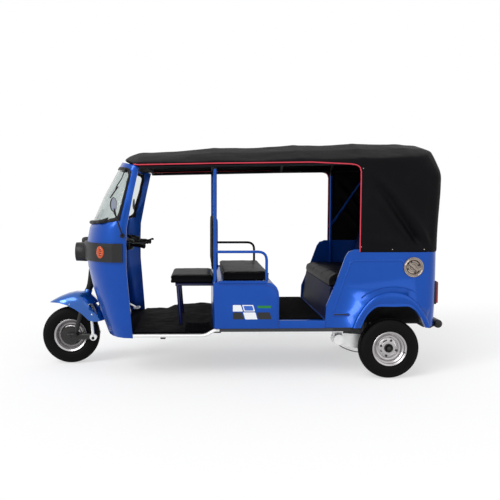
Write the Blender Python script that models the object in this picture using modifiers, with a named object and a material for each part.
"""Electric passenger rickshaw on three wheels.

Metres, +Z up. The vehicle faces -X, its left side is -Y, and the origin lies on the ground
under the middle of its length. Each sub-part is one object named after what it is. The wheels
and the steering hang on empties that sit on their axes.
"""

import math

import bmesh
import bpy
from mathutils import Matrix, Vector

# Clearances
GAP = 0.0003
RUNNING_GAP = 0.0006

# Wheels
FRONT_AXLE_X = -1.455
REAR_AXLE_X = 1.247
TYRE_RADIUS = 0.246
FRONT_TYRE_RADIUS = 0.253
TYRE_HALF_WIDTH = 0.0575
SEAT_RADIUS = 0.1275
FLANGE_RADIUS = 0.141
RIM_WELL_RADIUS = 0.113
RIM_SHEET = 0.005
AXLE_RADIUS = 0.011
HUB_RADIUS = 0.032
REAR_WHEEL_Y = 0.560
RIM_SLOTS = 4
WHEEL_FACETS = 24

# Steering
STEER_LEAN = math.radians(20)
STEER_AXIS_X = -1.262
STEER_AXIS_Z = 0.750
STEM_RADIUS = 0.019
HEAD_RADIUS = 0.030
HEAD_LOW_Z = 0.885
HEAD_HIGH_Z = 1.040
BOOT_LOW_Z = 0.662
CROWN_LOW_Z = 0.520
CROWN_HIGH_Z = 0.548
FORK_Y = 0.1085
FORK_RADIUS = 0.014
LINK_PIVOT_X = -1.242
LINK_PIVOT_Z = FRONT_TYRE_RADIUS - 0.004
LINK_INNER_Y = 0.068
LINK_OUTER_Y = 0.0932

# Body
BODY_HALF_WIDTH = 0.650
CAB_FLOOR_TOP = 0.385
CAB_FLOOR_HALF_WIDTH = 0.600
FLOOR_TOP = 0.490
FLOOR_SHEET = 0.020
SILL_BOTTOM = 0.427
RAIL_Y = 0.300
RAIL_WIDTH = 0.050
RAIL_BOTTOM = 0.400
CAB_RAIL_BOTTOM = 0.325
SIDE_RAIL_BOTTOM = 0.397
SIDE_RAIL_FRONT_X = -0.140
FRAME_FRONT_X = -0.975

# Nose
NOSE_SHEET = 0.016
NOSE_POWER = 2.3
RECESS_HALF_WIDTH = 0.235
RECESS_BACK_X = -1.030
SHELF_TOP = 1.220
TRAY_TOP = SHELF_TOP + 0.003

# Middle box and seats
BOX_FRONT_X = -0.191
BOX_REAR_X = 0.337
BOX_TOP = 0.800
BOX_SHEET = 0.012
POST_X = -0.176
POST_RADIUS = 0.0145

# Cutters and trimming blocks reach this far to the sides, well past the body
FAR = BODY_HALF_WIDTH + 0.35

# Rear tub and hood
TUB_TOP = 1.062
TUB_BOTTOM = 0.430
TUB_SHEET = 0.016
TUB_FRONT_X = 0.709
TUB_REAR_X = 1.630
FRAME_REAR_X = TUB_REAR_X - 0.030
TUB_CORNER = 0.140
TUB_BULGE = 0.012
HOOD_BOTTOM = 1.028
HOOD_SHEET = 0.006
HOOD_HALF = BODY_HALF_WIDTH + 0.003
HOOD_SIDE_X = 0.976
BUMPER_REAR_X = TUB_REAR_X + 0.078
BUMPER_RADIUS = 0.034
RAIL_RADIUS = 0.014

SIDES = (("left", -1), ("right", 1))

for stale in list(bpy.data.objects):
    bpy.data.objects.remove(stale, do_unlink=True)
PARTS = bpy.data.collections.new("electric_rickshaw")
bpy.context.scene.collection.children.link(PARTS)

PALETTE = {
    "body_blue": ((0.045, 0.17, 0.62), 0.28, 0.55),
    "fender_blue": ((0.03, 0.20, 0.48), 0.25, 0.6),
    "dark_blue": ((0.012, 0.035, 0.17), 0.4, 0.3),
    "frame_grey": ((0.11, 0.13, 0.12), 0.6, 0.3),
    "steel": ((0.72, 0.72, 0.71), 0.3, 1.0),
    "rim_silver": ((0.62, 0.61, 0.60), 0.35, 0.9),
    "black_plastic": ((0.02, 0.02, 0.022), 0.5, 0.0),
    "black_vinyl": ((0.018, 0.018, 0.02), 0.55, 0.0),
    "navy_vinyl": ((0.012, 0.02, 0.08), 0.5, 0.0),
    "slate_vinyl": ((0.035, 0.04, 0.075), 0.6, 0.0),
    "canvas": ((0.016, 0.016, 0.019), 0.8, 0.0),
    "tyre_rubber": ((0.015, 0.015, 0.015), 0.75, 0.0),
    "rubber": ((0.01, 0.01, 0.011), 0.7, 0.0),
    "clear": ((0.75, 0.82, 0.83), 0.05, 0.0),
    "amber": ((0.75, 0.12, 0.02), 0.2, 0.0),
    "red_lens": ((0.45, 0.015, 0.012), 0.2, 0.0),
    "chrome": ((0.8, 0.8, 0.8), 0.12, 1.0),
    "cast_metal": ((0.35, 0.35, 0.36), 0.45, 0.9),
}


def material(name):
    made = bpy.data.materials.get(name)
    if made is None:
        colour, roughness, metallic = PALETTE[name]
        made = bpy.data.materials.new(name)
        made.use_nodes = True
        shader = made.node_tree.nodes["Principled BSDF"]
        shader.inputs["Base Color"].default_value = (*colour, 1)
        shader.inputs["Roughness"].default_value = roughness
        shader.inputs["Metallic"].default_value = metallic
        made.diffuse_color = (*colour, 1)
    return made


def solid(name, form):
    """Links a closed bmesh as an object, with its normals facing out."""
    bmesh.ops.recalc_face_normals(form, faces=form.faces)
    mesh = bpy.data.meshes.new(name)
    form.to_mesh(mesh)
    form.free()
    made = bpy.data.objects.new(name, mesh)
    PARTS.objects.link(made)
    return made


def evaluated(made):
    """Replaces an object by the mesh that its curve or its modifiers give."""
    bpy.context.view_layer.update()
    graph = bpy.context.evaluated_depsgraph_get()
    mesh = bpy.data.meshes.new_from_object(made.evaluated_get(graph))
    form = bmesh.new()
    form.from_mesh(mesh)
    form.transform(made.matrix_world)
    bmesh.ops.remove_doubles(form, verts=form.verts, dist=1e-5)
    bmesh.ops.dissolve_degenerate(form, dist=1e-6, edges=form.edges)
    name = made.name
    bpy.data.objects.remove(made, do_unlink=True)
    return solid(name, form)


def finish(made, name, finish_name, parent=None, smooth=32):
    """Names the piece, gives it its material, and hangs it on its parent."""
    made.name = name
    made.data.materials.clear()
    made.data.materials.append(material(finish_name))
    made.data.shade_smooth()
    made.data.set_sharp_from_angle(angle=math.radians(smooth))
    if parent:
        made.data.transform(parent.matrix_world.inverted())
        made.parent = parent
    return made


def boolean(made, other, operation, solver="EXACT"):
    """Joins, cuts or trims made with other, which is used up."""
    modifier = made.modifiers.new(operation.lower(), "BOOLEAN")
    modifier.operation = operation
    modifier.solver = solver
    modifier.object = other
    bpy.context.view_layer.update()
    graph = bpy.context.evaluated_depsgraph_get()
    mesh = bpy.data.meshes.new_from_object(made.evaluated_get(graph))
    made.modifiers.clear()
    made.data = mesh
    bpy.data.objects.remove(other, do_unlink=True)
    return made


def join(pieces):
    first = pieces[0]
    for other in pieces[1:]:
        boolean(first, other, "UNION")
    return first


def cut(made, *others):
    for other in others:
        boolean(made, other, "DIFFERENCE")
    return made


def trim(made, other, solver="EXACT"):
    return boolean(made, other, "INTERSECT", solver)


def block(low, high, bevel=0.0, segments=2):
    """A box between two corners, with its edges rounded."""
    form = bmesh.new()
    bmesh.ops.create_cube(form, size=1)
    size = Vector(high) - Vector(low)
    bmesh.ops.transform(form, matrix=Matrix.Diagonal((*size, 1)), verts=form.verts)
    bmesh.ops.translate(form, vec=(Vector(high) + Vector(low)) / 2, verts=form.verts)
    if bevel:
        bmesh.ops.bevel(
            form, geom=form.edges[:], offset=bevel, segments=segments, profile=0.5, affect="EDGES"
        )
    return solid("block", form)


def sided(sign, x, y, z, bevel=0.0):
    """A box on one side: its ranges in X and Z, and its distances from the middle plane."""
    low, high = sorted((sign * y[0], sign * y[1]))
    return block((x[0], low, z[0]), (x[1], high, z[1]), bevel, 1)


def rod(start, end, radius, sides=12, end_radius=None):
    """A cylinder or a cone between two points."""
    start, end = Vector(start), Vector(end)
    form = bmesh.new()
    bmesh.ops.create_cone(
        form,
        cap_ends=True,
        segments=sides,
        radius1=radius,
        radius2=radius if end_radius is None else end_radius,
        depth=(end - start).length,
    )
    turn = (end - start).to_track_quat("Z", "Y").to_matrix().to_4x4()
    bmesh.ops.transform(form, matrix=Matrix.Translation((start + end) / 2) @ turn, verts=form.verts)
    return solid("rod", form)


def filleted(points, radius, steps=3):
    """The points of a bent tube's centre line, with its corners rounded."""
    points = [Vector(p) for p in points]
    route = [points[0]]
    for before, corner, after in zip(points, points[1:], points[2:]):
        to_before, to_after = (before - corner).normalized(), (after - corner).normalized()
        reach = min(radius, (before - corner).length * 0.45, (after - corner).length * 0.45)
        low, high = corner + to_before * reach, corner + to_after * reach
        for step in range(steps + 1):
            t = step / steps
            route.append(low * (1 - t) ** 2 + corner * 2 * t * (1 - t) + high * t**2)
    route.append(points[-1])
    return route


def tube(points, radius, bend=0.0, steps=3, resolution=1):
    """A round tube along a route whose corners are bent."""
    curve = bpy.data.curves.new("tube", "CURVE")
    curve.dimensions = "3D"
    curve.bevel_depth = radius
    curve.bevel_resolution = resolution
    curve.use_fill_caps = True
    route = filleted(points, bend, steps) if bend else points
    spline = curve.splines.new("POLY")
    spline.points.add(len(route) - 1)
    for point, place in zip(spline.points, route):
        point.co = (*place, 1)
    made = bpy.data.objects.new("tube", curve)
    PARTS.objects.link(made)
    return evaluated(made)


SIDE_VIEW = Matrix(((1, 0, 0, 0), (0, 0, -1, 0), (0, 1, 0, 0), (0, 0, 0, 1)))
FRONT_VIEW = Matrix(((0, 0, 1, 0), (1, 0, 0, 0), (0, 1, 0, 0), (0, 0, 0, 1)))
PLAN_VIEW = Matrix.Identity(4)


def flat(outlines, low, high, view):
    """Flat outlines given thickness from low to high, across the view's own depth.

    SIDE_VIEW takes (x, z) outlines and runs along Y, FRONT_VIEW (y, z) along X, and PLAN_VIEW
    (x, y) along Z. The second outline and those after it are holes.
    """
    curve = bpy.data.curves.new("flat", "CURVE")
    curve.dimensions = "2D"
    curve.fill_mode = "BOTH"
    curve.extrude = (high - low) / 2
    for outline in outlines:
        spline = curve.splines.new("POLY")
        spline.points.add(len(outline) - 1)
        for point, place in zip(spline.points, outline):
            point.co = (*place, 0, 1)
        spline.use_cyclic_u = True
    made = bpy.data.objects.new("flat", curve)
    PARTS.objects.link(made)
    depth = (low + high) / 2
    made.matrix_world = view @ Matrix.Translation((0, 0, -depth if view is SIDE_VIEW else depth))
    return evaluated(made)


def turned(profile, centre, axis="Y", steps=32, side=1):
    """A closed (radius, height) profile turned about an axis through centre.

    Height runs along the axis; on side -1 it is mirrored.
    """
    mesh = bpy.data.meshes.new("turned")
    mesh.from_pydata(
        [(radius, 0, height * side) for radius, height in profile],
        [(i, (i + 1) % len(profile)) for i in range(len(profile))],
        [],
    )
    made = bpy.data.objects.new("turned", mesh)
    PARTS.objects.link(made)
    screw = made.modifiers.new("turn", "SCREW")
    screw.steps = screw.render_steps = steps
    screw.use_merge_vertices = True
    screw.merge_threshold = 1e-5
    turns = {
        "X": Matrix.Rotation(math.radians(90), 4, "Y"),
        "Y": Matrix.Rotation(math.radians(-90), 4, "X"),
        "Z": Matrix.Identity(4),
    }
    made.matrix_world = Matrix.Translation(centre) @ turns[axis]
    return evaluated(made)


def loft(rings):
    """A closed body through rings of equal count, capped at both ends.

    The facets' diagonals are mirrored about the middle plane, so an offset of the same rings has
    the same ones.
    """
    form = bmesh.new()
    rows = [[form.verts.new(place) for place in ring] for ring in rings]
    count = len(rows[0])
    for low, high in zip(rows, rows[1:]):
        for i in range(count):
            j = (i + 1) % count
            if low[i].co.y + low[j].co.y < 0:
                form.faces.new((low[i], low[j], high[i]))
                form.faces.new((low[j], high[j], high[i]))
            else:
                form.faces.new((low[i], low[j], high[j]))
                form.faces.new((low[i], high[j], high[i]))
    form.faces.new(rows[0])
    form.faces.new(rows[-1])
    bmesh.ops.triangulate(form, faces=form.faces)
    return solid("loft", form)


def arc(centre, radius, start, end, steps):
    """Points on a circular arc, with its angles in degrees."""
    return [
        (
            centre[0] + radius * math.cos(math.radians(start + (end - start) * i / steps)),
            centre[1] + radius * math.sin(math.radians(start + (end - start) * i / steps)),
        )
        for i in range(steps + 1)
    ]


def rounded(points, radius, steps=3):
    """A flat closed outline with each corner rounded, and its own radius where one is given."""
    outline = []
    count = len(points)
    for i, point in enumerate(points):
        corner = Vector(point[:2])
        reach = point[2] if len(point) > 2 else radius
        to_before = Vector(points[i - 1][:2]) - corner
        to_after = Vector(points[(i + 1) % count][:2]) - corner
        reach = min(reach, to_before.length * 0.45, to_after.length * 0.45)
        if reach <= 0:
            outline.append(tuple(corner))
            continue
        low = corner + to_before.normalized() * reach
        high = corner + to_after.normalized() * reach
        for step in range(steps + 1):
            t = step / steps
            place = low * (1 - t) ** 2 + corner * 2 * t * (1 - t) + high * t**2
            outline.append(tuple(place))
    return outline


def between(table, position):
    """The columns of a table at a position along its first column."""
    if position <= table[0][0]:
        return table[0][1:]
    for low, high in zip(table, table[1:]):
        if position <= high[0]:
            share = (position - low[0]) / (high[0] - low[0])
            return tuple(a + (b - a) * share for a, b in zip(low[1:], high[1:]))
    return table[-1][1:]


def steer_x(z):
    """Where the steering axis is at a height."""
    return STEER_AXIS_X + (z - STEER_AXIS_Z) * math.tan(STEER_LEAN)


def along_steering(z):
    """A point of the steering axis at a height."""
    return Vector((steer_x(z), 0, z))


def empty(name, place, tilt=0.0, parent=None):
    made = bpy.data.objects.new(name, None)
    made.empty_display_size = 0.1
    PARTS.objects.link(made)
    made.matrix_world = Matrix.Translation(place) @ Matrix.Rotation(tilt, 4, "Y")
    if parent:
        made.parent = parent
        made.matrix_parent_inverse = parent.matrix_world.inverted()
    return made


steering_axis = empty("steering_axis", (STEER_AXIS_X, 0, STEER_AXIS_Z), STEER_LEAN)
bpy.context.view_layer.update()
front_axis = empty("front_wheel_axis", (FRONT_AXLE_X, 0, FRONT_TYRE_RADIUS), parent=steering_axis)
rear_axes = {
    side: empty(f"rear_wheel_axis_{side}", (REAR_AXLE_X, sign * REAR_WHEEL_Y, TYRE_RADIUS))
    for side, sign in SIDES
}
bpy.context.view_layer.update()

# Nose sections, front to back across the vehicle:
# height at the sides, height in the middle, front x, rear x, half width
NOSE_ROWS = (
    (0.335, 0.335, -1.105, -0.842, 0.575),
    (0.500, 0.500, -1.165, -0.855, 0.590),
    (0.720, 0.720, -1.235, -0.872, 0.600),
    (0.900, 0.900, -1.277, -0.886, 0.605),
    (1.080, 1.080, -1.287, -0.886, 0.605),
    (1.235, 1.220, -1.258, -0.881, 0.605),
    (1.495, 1.510, -1.122, -0.829, 0.603),
    (1.718, 1.775, -0.965, -0.778, 0.600),
)
NOSE_STEPS = 14


def nose_place(row, angle, offset):
    """A point of the nose: angle runs from -90 on the left side over 0 in the middle to 90."""
    side_z, middle_z, front, rear, half = row
    along = abs(math.cos(math.radians(angle))) ** (2 / NOSE_POWER)
    across = abs(math.sin(math.radians(angle))) ** (2 / NOSE_POWER)
    z = side_z + (middle_z - side_z) * along
    x = rear - (rear - front + offset) * along
    return (x, math.copysign((half + offset) * across, angle), z)


def nose_at(height, angle, offset):
    """The point of the nose at a height between its sections."""
    along = abs(math.cos(math.radians(angle))) ** (2 / NOSE_POWER)
    z_table = [(row[0] + (row[1] - row[0]) * along, *row) for row in NOSE_ROWS]
    return nose_place(between(z_table, height), angle, offset)


def nose_volume(offset, back=0.0, extend=0.0):
    """The closed body inside the nose surface moved out by offset, and its back moved by back.

    It goes on past its first and last sections by extend times their distance from the next.
    """
    rows = [list(row) for row in NOSE_ROWS]
    if extend:
        rows.insert(0, [end + (end - inner) * extend for inner, end in zip(rows[1], rows[0])])
        rows.append([end + (end - inner) * extend for inner, end in zip(rows[-2], rows[-1])])
    rings = []
    for row in rows:
        angles = [-90 + 180 * i / NOSE_STEPS for i in range(NOSE_STEPS + 1)]
        ring = [nose_place(row, angle, offset) for angle in angles]
        if back:
            back_z = row[0] - (row[1] - row[0]) * back / (row[3] - row[2] + offset)
            ring.append((row[3] + back, row[4] + offset, back_z))
            ring.append((row[3] + back, -row[4] - offset, back_z))
        rings.append(ring)
    return loft(rings)


def nose_skin(outer, inner):
    """The layer between two offsets of the nose surface, open at the back."""
    return cut(nose_volume(outer, 0.0), nose_volume(inner, 0.3, 0.25))


def recess_volume(margin):
    """The space that the front wheel and its fender turn in, made larger by margin."""
    half = RECESS_HALF_WIDTH + margin
    top = 0.845 + margin
    low = 0.20
    arch = flat(
        [[(-half, low), (half, low), (half, 0.60), (half - 0.05, 0.73), (0.115, top - 0.03), (0, top),
          (-0.115, top - 0.03), (-half + 0.05, 0.73), (-half, 0.60)]],
        -1.5, -0.9, FRONT_VIEW,
    )
    back = RECESS_BACK_X + margin
    side = flat(
        [[(-1.5, low), (back, low), (back, 0.60), (back - 0.135, 0.86), (-1.5, 0.86)]],
        -0.4, 0.4, SIDE_VIEW,
    )
    return trim(arch, side)


def steering_space():
    """The cone that the column's boot and stem turn in, through the nose."""
    return rod(along_steering(0.64), along_steering(0.90), 0.066, 20)


def glass_outline(margin):
    """The windscreen's outline in side view, made larger by margin."""
    return rounded(
        [
            (-1.6, 1.238 - margin, 0),
            (-1.24, 1.256 - margin, 0),
            (-0.937 + margin, 1.287 - margin, 0.05),
            (-0.834 + margin, 1.705 + margin, 0.05),
            (-0.975, 1.732 + margin, 0),
            (-1.6, 1.752 + margin, 0),
        ],
        0.0,
    )


def make_nose():
    shell = nose_skin(0.0, -NOSE_SHEET)
    cut(shell, flat([glass_outline(0)], -FAR, FAR, SIDE_VIEW))
    cut(shell, recess_volume(GAP), steering_space())
    finish(shell, "front_shell", "body_blue")

    panel = cut(recess_volume(0.0), recess_volume(-0.012))
    trim(panel, nose_volume(-NOSE_SHEET - GAP, 0.3))
    cut(panel, steering_space())
    finish(panel, "wheel_recess", "body_blue")

    gasket_layer = nose_skin(0.004, -NOSE_SHEET - 0.004)
    gasket = trim(gasket_layer, flat([glass_outline(-GAP)], -FAR, FAR, SIDE_VIEW))
    cut(gasket, flat([glass_outline(-0.020)], -FAR, FAR, SIDE_VIEW))
    finish(gasket, "windscreen_gasket", "rubber")

    pane = nose_skin(-0.005, -0.011)
    trim(pane, flat([glass_outline(-0.020 - GAP)], -FAR, FAR, SIDE_VIEW))
    finish(pane, "windscreen", "clear")

    board = block((-1.4, -FAR, SHELF_TOP - 0.020), (-1.02, FAR, SHELF_TOP))
    shelf = trim(board, nose_volume(-NOSE_SHEET - GAP, 0.3))
    tray = block((-1.150, -0.280, SHELF_TOP - 0.002), (-1.040, 0.280, TRAY_TOP))
    finish(join([shelf, tray]), "dashboard", "black_plastic")


LAMP_Y = 0.140
LAMP_Z = 1.010
LAMP_RADIUS = 0.081
LAMP_FRONT_X = -1.370
LAMP_RIM = 0.010
BAND_LOW = 0.957
BAND_HIGH = 1.107
BAND_REAR_X = -0.915
BAND_DEPTH = 0.022


def make_lamp_band():
    band = nose_skin(BAND_DEPTH, GAP)
    trim(band, block((-1.5, -FAR, BAND_LOW), (BAND_REAR_X, FAR, BAND_HIGH)))
    pods = [
        rod((-1.20, sign * LAMP_Y, LAMP_Z), (LAMP_FRONT_X, sign * LAMP_Y, LAMP_Z),
            LAMP_RADIUS + 0.006, 24, LAMP_RADIUS)
        for _, sign in SIDES
    ]
    bump = block((-1.345, -0.055, LAMP_Z), (-1.20, 0.055, 1.130), 0.02)
    proud = cut(join([*pods, bump]), nose_volume(BAND_DEPTH / 3, 0.3))
    band = join([band, proud])
    for _, sign in SIDES:
        cut(band, rod((LAMP_FRONT_X + 0.030, sign * LAMP_Y, LAMP_Z), (-1.5, sign * LAMP_Y, LAMP_Z),
                      LAMP_RADIUS - LAMP_RIM, 24))
    finish(band, "lamp_band", "black_plastic")
    for side, sign in SIDES:
        lens = turned(
            [(0.0, 0.0), (0.0, 0.027), (0.034, 0.024), (0.058, 0.015),
             (LAMP_RADIUS - LAMP_RIM - 0.0005, 0.004), (LAMP_RADIUS - LAMP_RIM - 0.0005, 0.0)],
            (LAMP_FRONT_X + 0.030 - GAP, sign * LAMP_Y, LAMP_Z), "X", 24, -1,
        )
        finish(lens, f"headlamp_{side}", "clear")
        lens = nose_skin(BAND_DEPTH + 0.010, BAND_DEPTH + GAP)
        trim(lens, sided(sign, (-1.25, -0.95), (0.505, 0.568), (0.984, 1.086)))
        finish(lens, f"indicator_{side}", "amber")


def make_mirrors_and_wiper():
    for side, sign in SIDES:
        base = Vector(nose_at(1.165, sign * 87, 0.0))
        foot = base + Vector((0, sign * 0.0075, 0))
        head = Vector((-0.966, sign * 0.735, 1.420))
        knee = foot + Vector((0.005, sign * 0.050, 0.015))
        stalk = tube([foot, knee, (-0.934, sign * 0.700, 1.284), head],
                     0.006, 0.05)
        pad = rod(base - Vector((0, sign * 0.012, 0)), base + Vector((0, sign * 0.014, 0)), 0.018, 12)
        housing = block(head - Vector((0.015, 0.080, 0.058)), head + Vector((0.015, 0.080, 0.058)), 0.014, 3)
        mirror = join([housing, stalk, pad])
        cut(mirror, nose_volume(GAP, 0.02))
        finish(mirror, f"mirror_{side}", "black_plastic")
    blade = [nose_at(z, -48, 0.012) for z in (1.36, 1.44, 1.52, 1.60, 1.68)]
    arm = [nose_at(1.52, -48, 0.020), nose_at(1.64, -50, 0.026), nose_at(1.735, -52, 0.020)]
    hub_place = Vector(nose_at(1.745, -52, 0.0))
    hub_tip = Vector(nose_at(1.745, -52, 0.028))
    out = (hub_tip - hub_place).normalized()
    hub = rod(hub_place + out * 0.001, hub_tip, 0.012, 12)
    wiper = join([tube(blade, 0.006), tube(arm, 0.005), hub])
    cut(wiper, nose_volume(GAP, 0.3))
    finish(wiper, "wiper", "black_plastic")


def make_floors():
    """The cab floor has a ramp up to the middle box; the passenger floor carries its sills."""
    low = CAB_FLOOR_TOP - FLOOR_SHEET
    rear = BOX_FRONT_X - 0.002
    side = flat(
        [[(-0.834, low), (-0.245, low), (-0.150, low + 0.055), (-0.150, low + 0.075),
          (-0.255, CAB_FLOOR_TOP), (-0.834, CAB_FLOOR_TOP)]],
        -CAB_FLOOR_HALF_WIDTH, CAB_FLOOR_HALF_WIDTH, SIDE_VIEW,
    )
    cut(side, block((rear, -FAR, 0.3), (0, FAR, 0.5)))
    front = block((RECESS_BACK_X + GAP, 0.01 - CAB_FLOOR_HALF_WIDTH, low),
                  (-0.83, CAB_FLOOR_HALF_WIDTH - 0.01, CAB_FLOOR_TOP))
    trim(front, nose_volume(-NOSE_SHEET - GAP, 0.3))
    foot_panel = block((-0.870, -0.500, CAB_FLOOR_TOP - 0.005), (-0.540, 0.500, CAB_FLOOR_TOP + 0.004))
    tube_slot = block((-1.1, -0.030, 0.3), (FRAME_FRONT_X + 0.035, 0.030, 0.5))
    floor = cut(join([side, front, foot_panel]), tube_slot)
    finish(floor, "cab_floor", "black_vinyl")

    edge = BODY_HALF_WIDTH - BOX_SHEET - GAP
    front = BOX_FRONT_X + BOX_SHEET + GAP
    floor_low = FLOOR_TOP - FLOOR_SHEET
    rear = block((0.690, -BODY_HALF_WIDTH, floor_low), (0.960, BODY_HALF_WIDTH, FLOOR_TOP))
    trim(rear, tub_volume(-TUB_SHEET - GAP))
    floor = [block((front, -edge, floor_low), (0.700, edge, FLOOR_TOP)), rear]
    for _, sign in SIDES:
        floor.append(sided(sign, (BOX_REAR_X + GAP, TUB_FRONT_X - GAP), (edge - 0.002, BODY_HALF_WIDTH),
                           (SILL_BOTTOM, FLOOR_TOP), 0.003))
    finish(join(floor), "passenger_floor", "body_blue")

    mat = block((BOX_REAR_X + 0.01, -0.600, FLOOR_TOP + GAP), (0.700, 0.600, FLOOR_TOP + 0.006))
    finish(mat, "passenger_mat", "rubber")


WHEEL_HOUSE_Y = BODY_HALF_WIDTH - 0.188
HOUSE_SHEET = 0.010


def arch_outline(margin):
    """The wheel arch's opening in side view, open at the bottom, made larger by margin."""
    return [
        (0.995 - margin, 0.30), (0.995 - margin, 0.430), (1.035 - margin, 0.520 + margin * 0.4),
        (1.085 - margin * 0.6, 0.577 + margin * 0.8), (1.135, 0.602 + margin), (1.385, 0.602 + margin),
        (1.440 + margin * 0.6, 0.565 + margin * 0.8), (1.490 + margin, 0.495 + margin * 0.4),
        (1.520 + margin, 0.430), (1.520 + margin, 0.30),
    ]


def tub_ring(z, offset, rear_x, half, front_x, round_corner=TUB_CORNER, steps=5):
    """One level of the rear tub or the hood: straight sides, round corners, a slight bulge."""
    side = half + offset
    rear = rear_x + offset
    corner = round_corner + offset
    ring = [(front_x, -side, z)]
    for x, y in arc((rear - corner, -side + corner), corner, -90, 0, steps):
        ring.append((x, y, z))
    middle = side - corner
    for i in range(1, 4):
        y = -middle + 2 * middle * i / 4
        ring.append((rear + TUB_BULGE * (1 - (y / middle) ** 2), y, z))
    for x, y in arc((rear - corner, side - corner), corner, 0, 90, steps):
        ring.append((x, y, z))
    ring.append((front_x, side, z))
    return ring


# The tub's top fits inside the hood
LAP_REAR_X = TUB_REAR_X + 0.0095 - HOOD_SHEET - GAP
LAP_HALF = HOOD_HALF - HOOD_SHEET - GAP

# Tub levels: height, rear x, half width
TUB_ROWS = (
    (TUB_BOTTOM, TUB_REAR_X - 0.004, BODY_HALF_WIDTH - 0.010),
    (0.600, TUB_REAR_X, BODY_HALF_WIDTH),
    (0.850, TUB_REAR_X + 0.003, BODY_HALF_WIDTH - 0.001),
    (HOOD_BOTTOM - 0.012, LAP_REAR_X, LAP_HALF),
    (TUB_TOP, LAP_REAR_X, LAP_HALF),
)


def tub_volume(offset, front_x=0.60, extend=0.0):
    rows = [list(row) for row in TUB_ROWS]
    rows[0][0] -= extend
    rows[-1][0] += extend
    return loft([tub_ring(z, offset, rear, half, front_x) for z, rear, half in rows])


def tub_front_outline(margin=0.0):
    """What lies ahead of the tub's leaning front edge, in side view."""
    edge = (
        (TUB_FRONT_X, 0.30), (TUB_FRONT_X, 0.478), (0.716, 0.609), (0.787, 0.786), (0.867, 1.007),
        (0.893, 1.045), (0.930, TUB_TOP - 0.006), (0.960, TUB_TOP + 0.02),
    )
    return [(0.30, 0.30), *[(x + margin, z) for x, z in edge], (0.960, 1.30), (0.30, 1.30)]


def make_tub():
    tub = cut(tub_volume(0.0), tub_volume(-TUB_SHEET, 0.40, 0.05))
    for _, sign in SIDES:
        low, high = sorted((sign * (BODY_HALF_WIDTH - 0.014), sign * (BODY_HALF_WIDTH + 0.022)))
        outer = [(0.928, 0.430), (0.965, 0.520), (1.035, 0.625), (1.120, 0.692), (1.241, 0.720),
                 (1.365, 0.695), (1.460, 0.620), (1.530, 0.510), (1.560, 0.430)]
        tub = join([tub, flat([outer], low, high, SIDE_VIEW)])
    cut(tub, flat([tub_front_outline()], -FAR, FAR, SIDE_VIEW))
    cut(tub, flat([arch_outline(0)], -FAR, FAR, SIDE_VIEW))
    cut(tub, rod((CAP_X, -BODY_HALF_WIDTH + 0.030, CAP_Z), (CAP_X, -FAR, CAP_Z), CAP_RADIUS + GAP, 24))
    finish(tub, "rear_tub", "body_blue")

    for side, sign in SIDES:
        low, high = sorted((sign * WHEEL_HOUSE_Y, sign * (BODY_HALF_WIDTH + 0.02)))
        inner_low, inner_high = sorted((sign * (WHEEL_HOUSE_Y + HOUSE_SHEET), sign * FAR))
        house = flat([arch_outline(0.028)], low, high, SIDE_VIEW)
        cut(house, flat([arch_outline(0.018)], inner_low, inner_high, SIDE_VIEW))
        cut(house, block((0.8, -FAR, 0.2), (1.7, FAR, TUB_BOTTOM + 0.01)))
        trim(house, tub_volume(-TUB_SHEET - GAP))
        finish(house, f"wheel_house_{side}", "black_plastic")


CAP_X = 1.413
CAP_Z = 0.919
CAP_RADIUS = 0.076


def make_cap():
    """The round charging cover in the left side of the tub, with a grip bar across its dish."""
    face = BODY_HALF_WIDTH + 0.004
    profile = [
        (0.0, -0.020), (0.0, -0.012), (0.050, -0.010), (0.056, -0.002), (0.066, 0.004), (0.074, 0.002),
        (CAP_RADIUS, -0.004), (CAP_RADIUS, -0.020),
    ]
    ring = turned(profile, (CAP_X, -face, CAP_Z), "Y", 24, -1)
    turn = Matrix.Translation((CAP_X, 0, CAP_Z)) @ Matrix.Rotation(math.radians(40), 4, "Y")
    grip = block((-0.050, -face + 0.004, -0.010), (0.050, -face + 0.016, 0.010), 0.003, 1)
    grip.data.transform(turn)
    finish(join([ring, grip]), "charging_cap", "chrome")


# Hood stations along the vehicle: x, height of the edge, height of the crown
HOOD_STATIONS = (
    (-0.905, 1.745, 1.795),
    (-0.860, 1.735, 1.838),
    (-0.800, 1.738, 1.866),
    (-0.690, 1.741, 1.867),
    (-0.540, 1.745, 1.881),
    (-0.250, 1.750, 1.908),
    (0.500, 1.765, 1.936),
    (1.100, 1.772, 1.953),
    (TUB_REAR_X - 0.230, 1.785, 1.948),
    (TUB_REAR_X - 0.100, 1.795, 1.937),
    (TUB_REAR_X - 0.030, 1.790, 1.905),
    (TUB_REAR_X + 0.030, 1.750, 1.860),
    (TUB_REAR_X + 0.110, 1.700, 1.800),
)
HOOD_POWER = 2.4
HOOD_STEPS = 8
# How far the visor's corners lie behind its middle
VISOR_SWEEP = 0.115
VISOR_ROOT_X = -0.540
# Hood levels round the back: height, rear x past the tub's, corner radius
HOOD_ROWS = (
    (HOOD_BOTTOM, 0.0095, TUB_CORNER),
    (TUB_TOP + 0.006, 0.0095, TUB_CORNER),
    (1.165, 0.002, TUB_CORNER),
    (1.311, 0.012, TUB_CORNER),
    (1.550, 0.016, TUB_CORNER),
    (1.600, 0.0205, TUB_CORNER),
    (1.650, 0.028, TUB_CORNER),
    (1.700, 0.025, 0.170),
    (1.748, 0.008, 0.200),
    (1.800, 0.008, 0.260),
    (1.850, -0.0075, 0.300),
    (1.950, -0.090, 0.360),
    (2.050, -0.190, 0.400),
)


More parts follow.
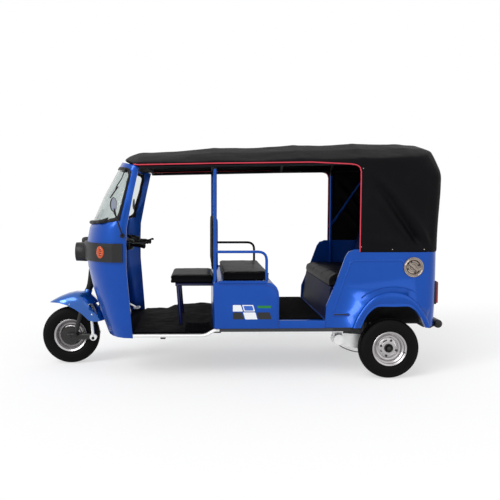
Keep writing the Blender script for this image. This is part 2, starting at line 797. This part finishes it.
def hood_volume(offset, front_x=-0.905, extend=0.0):
    """The closed body under the hood's outer surface moved out by offset."""
    rings = []
    stations = [list(row) for row in HOOD_STATIONS]
    if front_x < stations[0][0]:
        stations.insert(0, [front_x, *stations[0][1:]])
    for x, edge, crown in stations:
        half = HOOD_HALF + offset
        sweep = VISOR_SWEEP * max(0, (VISOR_ROOT_X - x) / (VISOR_ROOT_X - HOOD_STATIONS[0][0]))
        ring = [(x + sweep, half, HOOD_BOTTOM - extend), (x + sweep, -half, HOOD_BOTTOM - extend)]
        for i in range(HOOD_STEPS + 1):
            y = -math.cos(math.pi * i / HOOD_STEPS)
            z = edge + (crown - edge) * (1 - abs(y) ** HOOD_POWER)
            ring.append((x + sweep * y * y, y * half, z + offset))
        rings.append(ring)
    body = loft(rings)
    rows = [list(row) for row in HOOD_ROWS]
    rows[0][0] -= extend + 0.01
    rings = [tub_ring(z, offset, TUB_REAR_X + past, HOOD_HALF, -1.3, corner) for z, past, corner in rows]
    wrap = loft(rings)
    return trim(body, wrap)


def side_opening():
    """The open sides in side view: below the piping and ahead of the hood's rear quarter."""
    return rounded(
        [(-2.0, 0.9, 0), (HOOD_SIDE_X, 0.9, 0), (HOOD_SIDE_X, 1.750, 0.07), (0.500, 1.752, 0),
         (-0.180, 1.739, 0), (-0.781, 1.726, 0), (-0.860, 1.740, 0), (-2.0, 1.775, 0)],
        0.0, 4,
    )


REAR_WINDOW = ((1.5, -0.270, 1.290), (1.9, 0.270, 1.560))


def make_hood():
    hood = cut(hood_volume(0.0), hood_volume(-HOOD_SHEET, -1.3, 0.05))
    cut(hood, flat([side_opening()], -FAR, FAR, SIDE_VIEW))
    cut(hood, block(*REAR_WINDOW, 0.03, 3))
    finish(hood, "hood", "canvas")
    pane = cut(hood_volume(-0.002), hood_volume(-0.0045, -1.3, 0.05))
    low, high = (Vector(corner) for corner in REAR_WINDOW)
    trim(pane, block(low + Vector((0, GAP, GAP)), high - Vector((0, GAP, GAP)), 0.03, 3))
    finish(pane, "rear_window", "clear")


def bow(x):
    """A cross tube that follows the hood's crown at x, from rail to rail."""
    edge, crown = between(HOOD_STATIONS, x)
    drop = HOOD_SHEET + RAIL_RADIUS + 0.006
    points = [(x, -RAIL_SIDE_Y, edge - RAIL_DROP)]
    for i in range(2, HOOD_STEPS - 1):
        y = -math.cos(math.pi * i / HOOD_STEPS)
        points.append((x, y * HOOD_HALF, edge + (crown - edge) * (1 - abs(y) ** HOOD_POWER) - drop))
    points.append((x, RAIL_SIDE_Y, edge - RAIL_DROP))
    return tube(points, RAIL_RADIUS)


RAIL_DROP = 0.026
RAIL_SIDE_Y = HOOD_HALF - HOOD_SHEET - GAP - RAIL_RADIUS - 0.0005
REAR_POST_X = 1.000
REAR_POST_FOOT_X = 0.972
LAST_BOW_X = TUB_REAR_X - 0.250
REAR_POST_Y = BODY_HALF_WIDTH - 0.005 - TUB_SHEET - GAP - RAIL_RADIUS


def make_hood_frame():
    pieces = []
    for _, sign in SIDES:
        rail = [(x, sign * RAIL_SIDE_Y, between(HOOD_STATIONS, x)[0] - RAIL_DROP) for x in
                (-0.766, -0.250, 0.500, 1.100, LAST_BOW_X + 0.010)]
        pieces.append(tube(rail, RAIL_RADIUS))
        top = between(HOOD_STATIONS, POST_X)[0] - RAIL_DROP
        pieces.append(rod((POST_X, sign * POST_Y, BOX_TOP + GAP), (POST_X, sign * POST_Y, top), POST_RADIUS))
        top = between(HOOD_STATIONS, REAR_POST_X)[0] - RAIL_DROP
        y = sign * REAR_POST_Y
        post = [(REAR_POST_FOOT_X, y, FLOOR_TOP + GAP), (REAR_POST_FOOT_X, y, 0.70), (REAR_POST_X, y, 0.86),
                (REAR_POST_X, y, top)]
        pieces.append(tube(post, RAIL_RADIUS))
        armrest = [(POST_X, sign * POST_Y, 1.042), (0.238, sign * POST_Y, 1.042),
                   (0.238, sign * POST_Y, BOX_TOP + GAP)]
        pieces.append(tube(armrest, 0.0125, 0.07, 5))
        brace = [(REAR_POST_X, sign * REAR_POST_Y, 1.205), (LAST_BOW_X - 0.020, sign * REAR_POST_Y, 1.740)]
        pieces.append(tube(brace, 0.011))
    for x in (-0.762, POST_X, 0.500, REAR_POST_X, LAST_BOW_X):
        pieces.append(bow(x))
    finish(join(pieces), "hood_frame", "body_blue")


POST_Y = BODY_HALF_WIDTH - 0.035


def make_box():
    """The middle box: side profile with a round rear shoulder, open below, and a rolled lip."""
    def profile(inset, drop):
        front, rear = BOX_FRONT_X + inset, BOX_REAR_X - inset
        top = BOX_TOP - inset
        return rounded(
            [(front, SILL_BOTTOM - drop, 0), (rear, SILL_BOTTOM - drop, 0), (rear, top, 0.115 - inset),
             (front, top, 0.03)],
            0.0, 5,
        )
    box = flat([profile(0, 0)], -BODY_HALF_WIDTH, BODY_HALF_WIDTH, SIDE_VIEW)
    inner = BODY_HALF_WIDTH - BOX_SHEET
    cut(box, flat([profile(BOX_SHEET, 0.1)], -inner, inner, SIDE_VIEW))
    lips = [
        tube([(BOX_FRONT_X + 0.045, sign * 0.642, BOX_TOP), (0.235, sign * 0.642, BOX_TOP)], 0.011)
        for _, sign in SIDES
    ]
    box = join([box, *lips])
    floor_edge = BODY_HALF_WIDTH - BOX_SHEET + GAP
    cut(box, block((BOX_REAR_X - 0.05, -floor_edge, 0.30), (BOX_REAR_X + 0.05, floor_edge, FLOOR_TOP + GAP)))
    finish(box, "middle_box", "body_blue")
    finish(block((-0.150, -0.430, FLOOR_TOP + GAP), (0.290, 0.430, 0.750)), "battery", "black_plastic")


def make_middle_seat():
    board = block((-0.085, -0.520, BOX_TOP + GAP), (0.232, 0.520, 0.840))
    cushion = block((-0.098, -0.540, 0.826), (0.245, 0.540, 0.882), 0.016, 3)
    finish(join([cushion, board]), "middle_cushion", "black_vinyl")
    back_edge = POST_Y - POST_RADIUS - GAP
    back = block((-0.202, -back_edge, 0.885), (-0.150, back_edge, 1.318), 0.018, 3)
    finish(back, "middle_backrest", "black_vinyl")


SEAT_TUBE_RADIUS = 0.016


def make_driver_seat():
    frame = []
    height = 0.736
    for _, sign in SIDES:
        y = sign * 0.240
        leg_top = (-0.489, y, height - 0.003)
        frame.append(rod(leg_top, (-0.462, y, CAB_FLOOR_TOP + 0.002), SEAT_TUBE_RADIUS - 0.001))
        frame.append(rod((-0.510, y, height), (BOX_FRONT_X - GAP, y, height), SEAT_TUBE_RADIUS))
    for x in (-0.495, -0.220):
        frame.append(rod((x, -0.245, height), (x, 0.245, height), SEAT_TUBE_RADIUS - 0.002, 10))
    finish(join(frame), "driver_seat_frame", "dark_blue")
    underside = height + SEAT_TUBE_RADIUS + GAP
    cushion = block((-0.541, -0.310, underside), (BOX_FRONT_X - 0.004, 0.310, 0.832), 0.018, 3)
    finish(cushion, "driver_cushion", "black_vinyl")


def make_rear_seat():
    """The rear bench: a leaning front panel with its board, a cushion and a raked back."""
    inner = REAR_POST_Y - RAIL_RADIUS - GAP
    base = flat(
        [[(0.722, FLOOR_TOP + GAP), (0.742, FLOOR_TOP + GAP), (0.772, 0.740), (1.230, 0.740),
          (1.230, 0.755), (0.758, 0.755)]],
        -inner, inner, SIDE_VIEW,
    )
    finish(base, "rear_seat_base", "slate_vinyl")
    cushion = flat(
        [rounded([(0.750, 0.755 + GAP, 0.015), (1.165, 0.755 + GAP, 0.01), (1.185, 0.852, 0.02),
                  (0.765, 0.852, 0.045), (0.738, 0.825, 0.03)], 0.02)],
        -inner + 0.01, inner - 0.01, SIDE_VIEW,
    )
    finish(cushion, "rear_cushion", "black_vinyl")
    back = flat(
        [rounded([(1.188, 0.755 + GAP, 0.01), (1.275, 0.755 + GAP, 0.02),
                  (1.345, 1.180, 0.03), (1.265, 1.180, 0.03)], 0.02)],
        -inner + 0.01, inner - 0.01, SIDE_VIEW,
    )
    finish(back, "rear_seat_back", "navy_vinyl")


def make_chassis():
    """Ladder frame: two rails with cross-members, the dropped cab rails and the head tube."""
    rail_top = FLOOR_TOP - FLOOR_SHEET - GAP
    cab_top = CAB_FLOOR_TOP - FLOOR_SHEET - GAP
    pieces = []
    across = (RAIL_Y - RAIL_WIDTH / 2, RAIL_Y + RAIL_WIDTH / 2)
    for _, sign in SIDES:
        pieces.append(sided(sign, (-0.172, FRAME_REAR_X), across, (RAIL_BOTTOM, rail_top)))
        pieces.append(sided(sign, (FRAME_FRONT_X - 0.02, -0.262), across, (CAB_RAIL_BOTTOM, cab_top)))
        pieces.append(sided(sign, (-0.300, -0.120), across, (CAB_RAIL_BOTTOM, 0.352)))
        pieces.append(sided(sign, (-0.172, -0.120), across, (CAB_RAIL_BOTTOM, rail_top)))
    # Cross-members: x, half length, bottom, top
    crossings = (
        (FRAME_FRONT_X, 0.420, CAB_RAIL_BOTTOM, cab_top),
        (-0.600, 0.560, CAB_RAIL_BOTTOM, cab_top),
        (-0.120, 0.600, RAIL_BOTTOM, rail_top),
        (0.295, 0.600, RAIL_BOTTOM, rail_top),
        (0.750, 0.600, RAIL_BOTTOM, rail_top),
        (1.100, 0.300, RAIL_BOTTOM, rail_top),
        (FRAME_REAR_X - 0.02, 0.480, RAIL_BOTTOM, rail_top),
    )
    for x, half, low, high in crossings:
        pieces.append(block((x - 0.02, -half, low), (x + 0.02, half, high)))
    for _, sign in SIDES:
        pieces.append(
            sided(sign, (SIDE_RAIL_FRONT_X, 0.775), (0.590, 0.632), (SIDE_RAIL_BOTTOM, SILL_BOTTOM - GAP))
        )
        shock_x = (SHOCK_X - 0.025, SHOCK_X + 0.025)
        bracket_top = SHOCK_TOP_Z + 0.015
        pieces.append(sided(sign, shock_x, (RAIL_Y + 0.0245, RAIL_Y + 0.038), (0.440, bracket_top)))
        shelf = (RAIL_Y + 0.026, SHOCK_Y + 0.034)
        pieces.append(sided(sign, shock_x, shelf, (SHOCK_TOP_Z + GAP, bracket_top)))
        pieces.append(sided(sign, (0.760, 0.940), (0.440, 0.520), (ARM_PIVOT_Z + 0.0705, 0.440)))
        pieces.append(sided(sign, (0.760, 0.800), (0.310, 0.520), (0.410, 0.440)))
    pieces.append(rod(along_steering(HEAD_LOW_Z), along_steering(HEAD_HIGH_Z), HEAD_RADIUS, 20))
    neck = [along_steering(0.96), (-1.060, 0, 0.900), (FRAME_FRONT_X + 0.005, 0, 0.60),
            (FRAME_FRONT_X + 0.005, 0, cab_top - 0.02)]
    pieces.append(tube(neck, 0.025, 0.08, 4, 2))
    frame = join(pieces)
    cut(frame, rod(along_steering(0.7), along_steering(1.2), STEM_RADIUS + RUNNING_GAP, 20))
    finish(frame, "chassis", "frame_grey")


SHOCK_X = 1.110
SHOCK_Y = 0.392
SHOCK_TOP_Z = 0.560
ARM_PIVOT_X = 0.850
ARM_PIVOT_Z = 0.305
ARM_LOW_Y = 0.430
ARM_HIGH_Y = 0.485
SHAFT_RADIUS = 0.016


def make_rear_running_gear():
    for side, sign in SIDES:
        low, high = sorted((sign * ARM_LOW_Y, sign * ARM_HIGH_Y))
        outline = [
            *arc((ARM_PIVOT_X, ARM_PIVOT_Z), 0.052, 100, 260, 6), (1.000, 0.228), (1.150, 0.200),
            *arc((REAR_AXLE_X, TYRE_RADIUS), 0.062, -110, 80, 8), (1.130, 0.335), (0.950, 0.348),
        ]
        arm = flat([outline], low, high, SIDE_VIEW)
        pivot = rod((ARM_PIVOT_X, sign * 0.405, ARM_PIVOT_Z), (ARM_PIVOT_X, sign * 0.520, ARM_PIVOT_Z),
                    0.042, 16)
        ear = sided(sign, (0.812, 0.888), (0.425, 0.500), (ARM_PIVOT_Z, ARM_PIVOT_Z + 0.070))
        arm = join([arm, pivot, ear])
        bore = rod((REAR_AXLE_X, sign * 0.3, TYRE_RADIUS), (REAR_AXLE_X, sign * 0.6, TYRE_RADIUS),
                   SHAFT_RADIUS + RUNNING_GAP, 20)
        cut(arm, bore)
        finish(arm, f"trailing_arm_{side}", "steel")

        foot = Vector((SHOCK_X, sign * SHOCK_Y, 0.300))
        top = Vector((SHOCK_X, sign * SHOCK_Y, SHOCK_TOP_Z))
        eye_rod = rod((SHOCK_X, sign * (SHOCK_Y - 0.030), foot.z), (SHOCK_X, sign * (ARM_LOW_Y - GAP), foot.z),
                      0.022, 16)
        body = rod(foot, top, 0.018, 12)
        coil = rod(foot + Vector((0, 0, 0.035)), top - Vector((0, 0, 0.030)), 0.034, 16)
        finish(join([eye_rod, body, coil]), f"rear_shock_{side}", "black_plastic")


HUB_OUTER = 0.034
FRONT_HUB_INNER = 0.034


def wheel_profile(inner_end):
    """A pressed wheel's (radius, across) section in one loop: barrel, dished disc, then inner_end."""
    well_inner = RIM_WELL_RADIUS - RIM_SHEET
    seat_inner = SEAT_RADIUS - RIM_SHEET
    return [
        (FLANGE_RADIUS, 0.052), (FLANGE_RADIUS, 0.047), (SEAT_RADIUS, 0.044), (SEAT_RADIUS, 0.027),
        (RIM_WELL_RADIUS, 0.018), (RIM_WELL_RADIUS, -0.018), (SEAT_RADIUS, -0.027), (SEAT_RADIUS, -0.044),
        (FLANGE_RADIUS, -0.047), (FLANGE_RADIUS, -0.052), (seat_inner + 0.004, -0.049),
        (seat_inner, -0.025), (well_inner, -0.016), (well_inner, 0.000), (0.082, 0.004), (0.058, 0.014),
        (HUB_RADIUS, 0.014), *inner_end,
        (HUB_RADIUS - 0.004, HUB_OUTER), (HUB_RADIUS, 0.019), (0.060, 0.019), (0.086, 0.009),
        (well_inner, 0.006), (well_inner, 0.016), (seat_inner, 0.025), (seat_inner + 0.004, 0.049),
    ]


def front_hub():
    """The front hub's bore, which turns on the axle."""
    bore = AXLE_RADIUS + RUNNING_GAP
    return [(HUB_RADIUS, -FRONT_HUB_INNER), (bore, -FRONT_HUB_INNER), (bore, HUB_OUTER)]


def rear_hub():
    """The rear brake drum, the half shaft with its boot, and the nut, all on the wheel's axis."""
    drum_end = ARM_HIGH_Y + 0.004 - REAR_WHEEL_Y
    boot_end = BOOT_OUTER_Y - REAR_WHEEL_Y
    shaft_end = SHAFT_INNER_Y - REAR_WHEEL_Y
    return [
        (HUB_RADIUS, -0.030), (DRUM_RADIUS, -0.030), (DRUM_RADIUS, drum_end), (SHAFT_RADIUS, drum_end),
        (SHAFT_RADIUS, boot_end), (0.027, boot_end), (0.042, shaft_end), (0.0, shaft_end),
        (0.0, 0.042), (0.020, 0.042), (0.020, HUB_OUTER),
    ]


SHAFT_INNER_Y = 0.1655
BOOT_OUTER_Y = 0.235
DRUM_RADIUS = 0.088
TYRE_PROFILE = (
    (SEAT_RADIUS + GAP, 0.0435), (0.1420, 0.0463), (0.170, TYRE_HALF_WIDTH), (0.205, 0.0565),
    (0.232, 0.0470), (0.2435, 0.0280), (TYRE_RADIUS, 0.0),
)


def grown(profile, growth):
    """A wheel's section with all that lies outside its brake drum made larger."""
    return [(radius * growth if radius > DRUM_RADIUS else radius, across) for radius, across in profile]


def make_wheel(name, centre, sign, parent, hub, growth=1.0):
    profile = list(TYRE_PROFILE) + [(radius, -across) for radius, across in reversed(TYRE_PROFILE[:-1])]
    finish(turned(grown(profile, growth), centre, "Y", WHEEL_FACETS), f"{name}_tyre", "tyre_rubber", parent)
    rim = turned(grown(wheel_profile(hub), growth), centre, "Y", WHEEL_FACETS, sign)
    for i in range(RIM_SLOTS):
        angle = math.radians(45 + 360 / RIM_SLOTS * i)
        place = Vector(centre) + Vector((math.cos(angle), 0, math.sin(angle))) * 0.072
        cut(rim, rod(place + Vector((0, sign * 0.0015, 0)), place + Vector((0, sign * 0.05, 0)), 0.0125, 6))
    finish(rim, f"{name}_rim", "rim_silver", parent)


def make_wheels():
    centre = (FRONT_AXLE_X, 0, FRONT_TYRE_RADIUS)
    make_wheel("front_wheel", centre, -1, front_axis, front_hub(), FRONT_TYRE_RADIUS / TYRE_RADIUS)
    for side, sign in SIDES:
        centre = (REAR_AXLE_X, sign * REAR_WHEEL_Y, TYRE_RADIUS)
        make_wheel(f"rear_wheel_{side}", centre, sign, rear_axes[side], rear_hub())


def make_drive():
    """Motor and reduction gear as one plain block at its real place, on a hanger from the rails."""
    casing = rod((REAR_AXLE_X, -0.165, TYRE_RADIUS), (REAR_AXLE_X, 0.165, TYRE_RADIUS), 0.085, 24)
    motor = rod((1.050, -0.140, 0.275), (1.050, 0.150, 0.275), 0.092, 24)
    web = block((1.050, -0.080, 0.190), (1.247, 0.080, 0.320))
    hanger = block((1.000, -0.275 + GAP, 0.330), (1.290, 0.275 - GAP, RAIL_BOTTOM - GAP))
    finish(join([casing, motor, web, hanger]), "drive_unit", "cast_metal")


BUMPER_HALF = 0.520
BUMPER_Z = 0.434


def make_bumper_and_lamps():
    middle_x = BUMPER_REAR_X - BUMPER_RADIUS
    ends = [(middle_x, -BUMPER_HALF, BUMPER_Z), (middle_x, BUMPER_HALF, BUMPER_Z)]
    bumper = [tube(ends, BUMPER_RADIUS, resolution=3)]
    for _, sign in SIDES:
        bumper.append(sided(sign, (FRAME_REAR_X + GAP, middle_x), (RAIL_Y - 0.02, RAIL_Y + 0.02),
                            (RAIL_BOTTOM + 0.004, TUB_BOTTOM - 0.002)))
    bumper = join(bumper)
    finish(bumper, "rear_bumper", "black_plastic")
    for side, sign in SIDES:
        lamp = sided(sign, (TUB_REAR_X - 0.02, TUB_REAR_X + 0.028), (0.415, 0.560), (0.600, 0.800), 0.008)
        cut(lamp, tub_volume(GAP, 0.6))
        finish(lamp, f"tail_lamp_{side}", "red_lens")


def make_fork():
    stem = rod(along_steering(CROWN_LOW_Z + 0.012), along_steering(1.115), STEM_RADIUS, 20)
    crown = block((-1.368, -FORK_Y - 0.016, CROWN_LOW_Z), (-1.285, FORK_Y + 0.016, CROWN_HIGH_Z), 0.006, 1)
    pieces = [crown, stem]
    for _, sign in SIDES:
        y = sign * FORK_Y
        leg = [(-1.304, y, CROWN_LOW_Z + 0.014), (-1.258, y, 0.440), (LINK_PIVOT_X, y, LINK_PIVOT_Z)]
        pieces.append(tube(leg, FORK_RADIUS, 0.05, 3, 2))
        lug = sign * (LINK_OUTER_Y + GAP), sign * (FORK_Y + 0.012)
        pieces.append(rod((LINK_PIVOT_X, lug[0], LINK_PIVOT_Z), (LINK_PIVOT_X, lug[1], LINK_PIVOT_Z),
                          0.030, 20))
    fork = join(pieces)
    finish(fork, "fork", "steel", steering_axis)

    bore = STEM_RADIUS + GAP
    boot = turned([(bore, 0.0), (0.029, 0.0), (0.031, 0.040), (0.043, 0.100), (0.059, 0.165), (0.056, 0.190),
                   (0.042, 0.205), (bore, 0.205)], (0, 0, 0), "Z", 20)
    boot.data.transform(Matrix.Translation(along_steering(BOOT_LOW_Z)) @ Matrix.Rotation(STEER_LEAN, 4, "Y"))
    finish(boot, "steering_boot", "rubber", steering_axis)

    links = []
    for _, sign in SIDES:
        low, high = sorted((sign * LINK_INNER_Y, sign * LINK_OUTER_Y))
        outline = [*arc((LINK_PIVOT_X, LINK_PIVOT_Z), 0.026, -80, 80, 6),
                   *arc((FRONT_AXLE_X, FRONT_TYRE_RADIUS), 0.028, 100, 260, 6)]
        links.append(flat([outline], low, high, SIDE_VIEW))

    def on_axle(across):
        return (FRONT_AXLE_X, across, FRONT_TYRE_RADIUS)

    axle = rod(on_axle(-0.104), on_axle(0.104), AXLE_RADIUS, 16)
    collars = [
        rod(on_axle(sign * (FRONT_HUB_INNER + RUNNING_GAP)), on_axle(sign * 0.069), 0.019, 16)
        for _, sign in SIDES
    ]
    plate = rod(on_axle(-0.0535), on_axle(-0.0685), 0.085, 24, 0.078)
    finish(join([axle, *links, *collars, plate]), "front_link", "steel", steering_axis)

    for side, sign in SIDES:
        low = Vector((-1.400, sign * 0.1135, FRONT_TYRE_RADIUS + 0.016))
        high = Vector((-1.333, sign * 0.1135, CROWN_LOW_Z + 0.010))
        eye = rod((low.x, sign * (LINK_OUTER_Y + GAP), low.z), (low.x, sign * 0.134, low.z), 0.017, 14)
        coil = rod(low + (high - low) * 0.16, low + (high - low) * 0.88, 0.0195, 16)
        shock = join([eye, rod(low, high, 0.011, 12), coil])
        cut(shock, block((-1.5, -0.2, CROWN_LOW_Z - GAP), (-1.2, 0.2, 0.7)))
        finish(shock, f"front_shock_{side}", "black_plastic", steering_axis)


# Fender stations: x, height of the ridge, half width, drop of the skirt
FENDER_STATIONS = (
    (-1.634, 0.551, 0.022, 0.006),
    (-1.600, 0.572, 0.062, 0.022),
    (-1.540, 0.603, 0.098, 0.052),
    (-1.470, 0.630, 0.124, 0.095),
    (-1.400, 0.645, 0.138, 0.140),
    (-1.330, 0.643, 0.146, 0.185),
    (-1.275, 0.618, 0.146, 0.215),
    (-1.220, 0.560, 0.138, 0.170),
    (-1.175, 0.490, 0.124, 0.095),
    (-1.145, 0.428, 0.110, 0.026),
)


FENDER_STEPS = 8


def fender_volume(offset):
    rings = []
    for x, ridge, half, drop in FENDER_STATIONS:
        ring = []
        for i in range(FENDER_STEPS + 1):
            angle = math.pi * i / FENDER_STEPS
            across = math.copysign(abs(math.cos(angle)) ** 0.62, math.cos(angle))
            up = math.sin(angle) ** 0.85
            ring.append((x, -(half + offset) * across, ridge + offset - drop * (1 - up)))
        rings.append(ring)
    return rings


def make_fender():
    """The front mudguard: a sheet over the wheel with skirts, carried by the crown."""
    form = bmesh.new()
    rows = [[form.verts.new(place) for place in ring] for ring in fender_volume(0.0)]
    for low, high in zip(rows, rows[1:]):
        for i in range(len(low) - 1):
            form.faces.new((low[i], low[i + 1], high[i + 1], high[i]))
    bmesh.ops.recalc_face_normals(form, faces=form.faces)
    mesh = bpy.data.meshes.new("fender")
    form.to_mesh(mesh)
    form.free()
    sheet = bpy.data.objects.new("fender", mesh)
    PARTS.objects.link(sheet)
    thick = sheet.modifiers.new("sheet", "SOLIDIFY")
    thick.thickness = 0.006
    thick.offset = 0
    thick.use_even_offset = False
    fender = evaluated(sheet)
    collar = rod(along_steering(0.53), along_steering(0.660), 0.034, 20)
    fender = join([fender, collar])
    cut(fender, block((-1.45, -0.13, 0.4), (-1.2, 0.13, CROWN_HIGH_Z + GAP)))
    cut(fender, rod(along_steering(0.5), along_steering(0.8), STEM_RADIUS + GAP, 20))
    finish(fender, "front_fender", "fender_blue", steering_axis)


HALF_BAR = (-1.105, 0.090, 1.105), (-0.985, 0.225, 1.094), (-0.772, 0.318, 1.070)


def make_handlebar():
    clamp = rod(along_steering(1.052), along_steering(1.120), 0.030, 16)
    cluster = block((-1.200, -0.105, 1.085), (-1.020, 0.105, 1.150), 0.02, 1)
    half_bar = [Vector(place) for place in HALF_BAR]
    left_bar = [Vector((place.x, -place.y, place.z)) for place in reversed(half_bar)]
    bar = tube([*left_bar, *half_bar], 0.012, 0.05, 2)
    pieces = [clamp, cluster, bar]
    for _, sign in SIDES:
        mirrored = Vector((1, sign, 1))
        direction = (half_bar[2] - half_bar[1]).normalized() * mirrored
        tip = half_bar[2] * mirrored + direction * 0.004
        pieces.append(rod(tip - direction * 0.125, tip, 0.018, 12))
        base = tip - direction * 0.150
        half_switch = Vector((0.026, 0.026, 0.022))
        pieces.append(block(base - half_switch, base + half_switch, 0.01, 1))
        lever = [base + Vector((-0.02, 0, 0.01)), base + Vector((-0.030, sign * 0.05, 0.012)),
                 tip + Vector((-0.035, sign * 0.005, 0.02))]
        pieces.append(tube(lever, 0.006, 0.02, 2))
    handlebar = join(pieces)
    cut(handlebar, rod(along_steering(0.9), along_steering(1.1165), STEM_RADIUS + GAP, 20))
    finish(handlebar, "handlebar", "black_plastic", steering_axis)


def make_small_cab_parts():
    arm = tube([(-0.945, -0.140, CAB_FLOOR_TOP + 0.010), (-0.905, -0.140, 0.470), (-0.935, -0.140, 0.560),
                (-0.860, -0.140, 0.520)], 0.009, 0.04, 4)
    pad = block((-0.880, -0.180, 0.508), (-0.825, -0.100, 0.526), 0.005, 1)
    base = block((-0.965, -0.165, CAB_FLOOR_TOP + GAP), (-0.920, -0.115, CAB_FLOOR_TOP + 0.022), 0.003, 1)
    finish(join([arm, pad, base]), "brake_pedal", "steel")
    for side, sign in SIDES:
        y = sign * (CAB_FLOOR_HALF_WIDTH + 0.022)
        path = [(-0.828, y, 0.366), (-0.250, y, 0.366), (-0.180, y, 0.411), (SIDE_RAIL_FRONT_X - GAP, y, 0.411)]
        rail = tube(path, 0.014, 0.05, 4, 2)
        tabs = [
            sided(sign, (x - 0.02, x + 0.02), (CAB_FLOOR_HALF_WIDTH + GAP, abs(y)), (0.366, 0.372))
            for x in (-0.740, -0.340)
        ]
        finish(join([rail, *tabs]), f"step_rail_{side}", "steel")


def make_brake_cables():
    for side, sign in SIDES:
        y = sign * 0.420
        path = [(0.845, y, 0.2605), (0.905, y, 0.215), (1.000, y, 0.180), (1.110, y, 0.172), (1.185, y, 0.1965)]
        cable = tube(path, 0.004, 0.04, 3, 1)
        finish(cable, f"brake_cable_{side}", "rubber")


make_nose()
make_lamp_band()
make_mirrors_and_wiper()
make_floors()
make_tub()
make_cap()
make_hood()
make_hood_frame()
make_box()
make_middle_seat()
make_driver_seat()
make_rear_seat()
make_chassis()
make_rear_running_gear()
make_wheels()
make_drive()
make_bumper_and_lamps()
make_fork()
make_fender()
make_handlebar()
make_small_cab_parts()
make_brake_cables()
